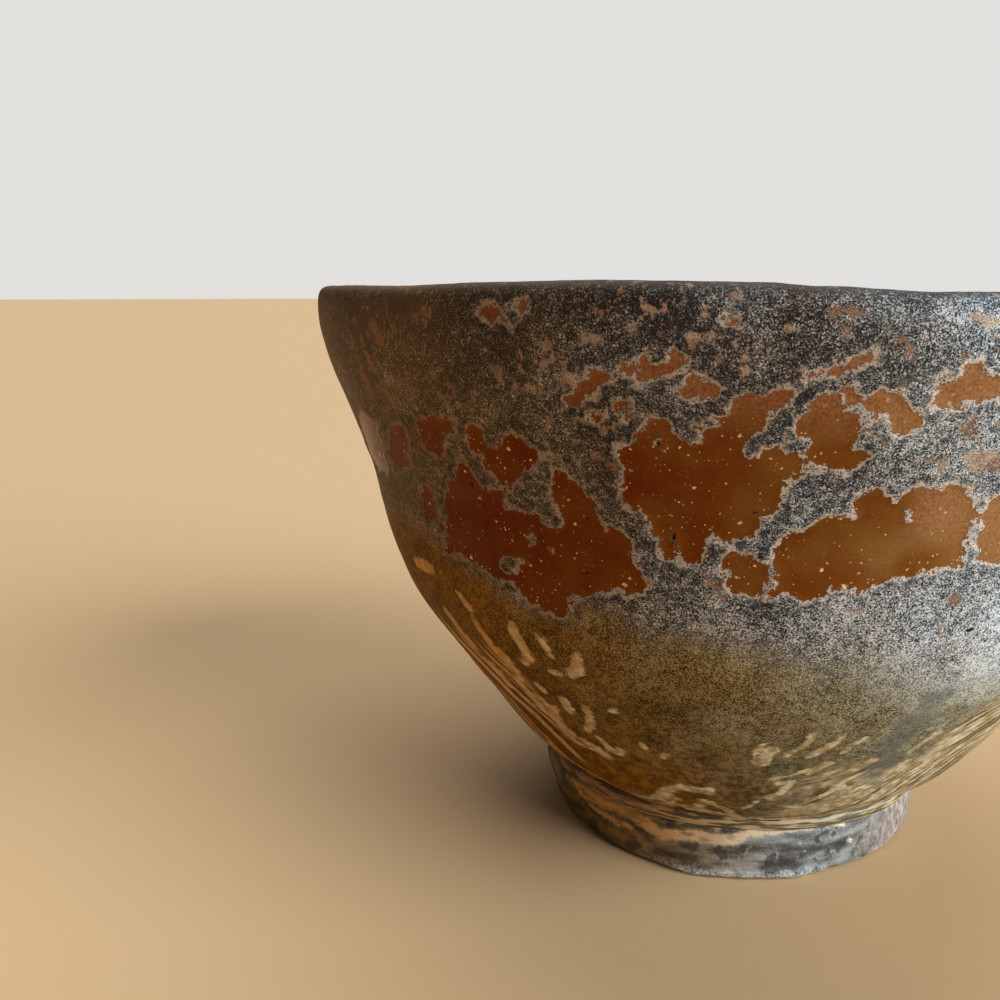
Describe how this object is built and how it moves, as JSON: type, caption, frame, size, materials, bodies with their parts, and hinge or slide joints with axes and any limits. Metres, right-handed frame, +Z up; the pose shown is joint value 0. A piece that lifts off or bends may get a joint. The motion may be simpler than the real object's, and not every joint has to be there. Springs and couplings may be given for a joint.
{
  "type": "matcha bowl",
  "caption": "Hand-thrown ceramic tea bowl with a flared wall, straight dark lip, crusted grey over amber glaze and a low raised foot ring.",
  "frame": {"origin": "centre of the foot ring's underside, on the surface that the bowl stands on", "axes": "+Z up along the bowl's axis to the lip; -Y is the bowl's face, the side towards a guest"},
  "size_m": [0.1222, 0.1222, 0.077],
  "materials": {
    "stoneware": "unglazed iron-rich stoneware with trimming marks, matte",
    "foot_clay": "reduced dark grey stoneware, satin, rough torn edges",
    "luting_slip": "fired cream slip, dry",
    "pale_slip": "brushed tan slip, satin",
    "amber_glaze": "amber-brown glaze with fine pale specks, gloss",
    "crust_glaze": "salt-and-pepper grey crystalline crust, rough satin",
    "lip_glaze": "near-black iron glaze, satin",
    "inner_glaze": "dark olive-brown glaze, pooled on the floor, gloss"
  },
  "bodies": {
    "root": {"clay_wall": "stoneware", "foot_ring": "foot_clay", "luting_slip": "luting_slip", "slip_coat": "pale_slip", "amber_glaze": "amber_glaze", "crust_glaze": "crust_glaze", "lip_glaze": "lip_glaze", "inner_glaze": "inner_glaze"}
  },
  "joints": []
}
